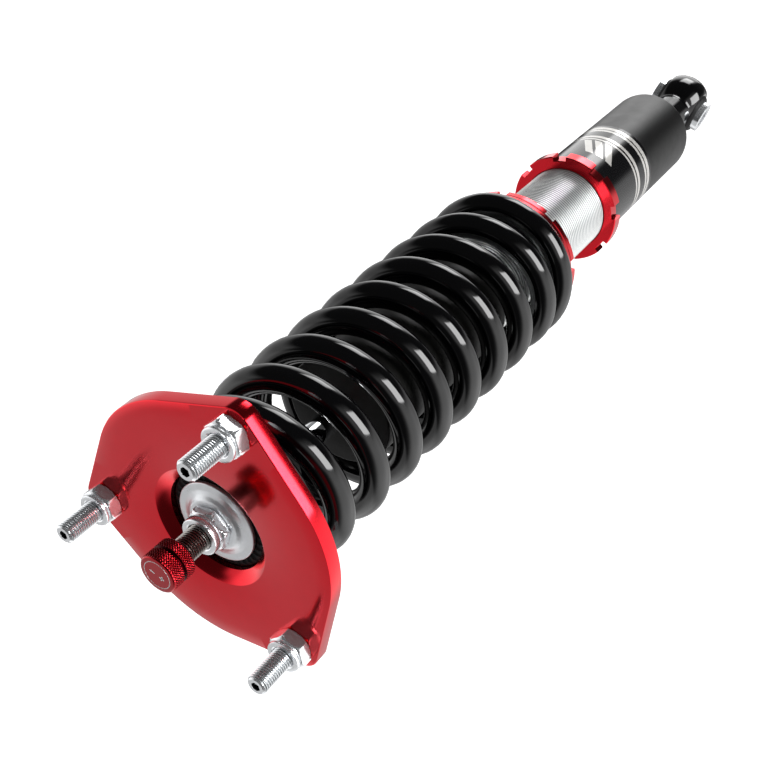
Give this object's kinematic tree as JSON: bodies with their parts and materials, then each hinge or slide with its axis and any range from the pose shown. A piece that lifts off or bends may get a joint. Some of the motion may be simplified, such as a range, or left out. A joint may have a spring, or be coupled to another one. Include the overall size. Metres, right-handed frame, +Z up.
{
  "type": "coilover",
  "caption": "Height-adjustable car suspension strut: threaded damper, coil spring, three-stud top plate with a damping knob, and a lower bracket with an eye bush.",
  "frame": {"origin": "centre of the top plate's upper face, on the damper's axis", "axes": "+Z up along the damper's axis, +Y towards one of the three studs, X along the lower eye's bolt"},
  "size_m": [0.1334, 0.139, 0.5939],
  "materials": {
    "red_anodised": "satin red anodised",
    "zinc_steel": "bright zinc plated",
    "dark_steel": "dark phosphated",
    "hard_chrome": "ground and polished hard chrome",
    "black_coat": "gloss black powder coat",
    "satin_black": "satin black coat",
    "black_rubber": "moulded rubber",
    "black_plastic": "moulded matte plastic",
    "bronze_band": "bronze-filled bearing band"
  },
  "bodies": {
    "top_mount": {"top_plate": "red_anodised", "stud_a": "zinc_steel", "stud_b": "zinc_steel", "stud_c": "zinc_steel", "stud_nut_a": "zinc_steel", "stud_nut_b": "zinc_steel", "stud_nut_c": "zinc_steel", "upper_spring_seat": "red_anodised", "top_bush": "black_rubber", "bush_sleeve": "zinc_steel", "cup_washer": "zinc_steel", "lower_cup_washer": "zinc_steel", "rod_stop_ring": "dark_steel", "top_nut": "zinc_steel", "piston_rod": "hard_chrome", "bump_stop": "black_rubber", "compression_shims": "zinc_steel", "piston": "dark_steel", "piston_band": "bronze_band", "rebound_shims": "zinc_steel", "piston_nut": "dark_steel", "spring": "black_coat"},
    "knob": {"adjuster_knob": "red_anodised"},
    "needle": {"adjuster_needle": "zinc_steel"},
    "damper_body": {"damper_tube": "zinc_steel", "gland_ring": "dark_steel", "rod_guide": "dark_steel", "rod_seal": "black_rubber", "base_plug": "dark_steel", "dust_boot": "black_plastic"},
    "gas_piston": {"floating_piston": "dark_steel", "gas_seal": "black_rubber"},
    "perch": {"spring_perch": "red_anodised"},
    "perch_lock": {"perch_ring": "red_anodised"},
    "lower_bracket": {"lower_sleeve": "satin_black", "lower_eye": "black_coat", "eye_bush": "black_rubber"},
    "bracket_lock": {"lock_collar": "red_anodised"},
    "eye_inner": {"eye_sleeve": "zinc_steel"}
  },
  "joints": [
    {"name": "adjuster_turn", "type": "hinge", "parent": "top_mount", "child": "knob", "pos_m": [0, 0, 0.019], "axis": [0, 0, -1], "range_deg": [0, 720]},
    {"name": "needle_lift", "type": "slide", "parent": "top_mount", "child": "needle", "axis": [0, 0, -1], "range_m": [0, 0.002]},
    {"name": "damper_stroke", "type": "slide", "parent": "top_mount", "child": "damper_body", "axis": [0, 0, 1], "range_m": [0, 0.055], "stiffness_N_per_m": 94000, "deforming": ["spring", "bump_stop"]},
    {"name": "gas_piston_travel", "type": "slide", "parent": "damper_body", "child": "gas_piston", "axis": [0, 0, -1], "range_m": [0, 0.004]},
    {"name": "perch_turn", "type": "hinge", "parent": "perch", "child": "perch_lock", "pos_m": [0, 0, -0.2724], "axis": [0, 0, -1], "range_deg": [0, 3600]},
    {"name": "perch_height", "type": "slide", "parent": "damper_body", "child": "perch", "axis": [0, 0, -1], "range_m": [0, 0.02]},
    {"name": "collar_turn", "type": "hinge", "parent": "lower_bracket", "child": "bracket_lock", "pos_m": [0, 0, -0.3477], "axis": [0, 0, 1], "range_deg": [-3600, 3600]},
    {"name": "ride_height", "type": "slide", "parent": "damper_body", "child": "lower_bracket", "axis": [0, 0, 1], "range_m": [-0.02, 0.02]},
    {"name": "eye_pivot", "type": "hinge", "parent": "lower_bracket", "child": "eye_inner", "pos_m": [0, 0, -0.54], "axis": [1, 0, 0], "range_deg": [-20, 20]}
  ],
  "couplings": [
    {"joint": "adjuster_turn", "follows": "needle_lift", "rad_per_m": 6283},
    {"joint": "gas_piston_travel", "follows": "damper_stroke", "ratio": 0.0696},
    {"joint": "perch_turn", "follows": "perch_height", "rad_per_m": 3141.5},
    {"joint": "collar_turn", "follows": "ride_height", "rad_per_m": 3141.5}
  ]
}
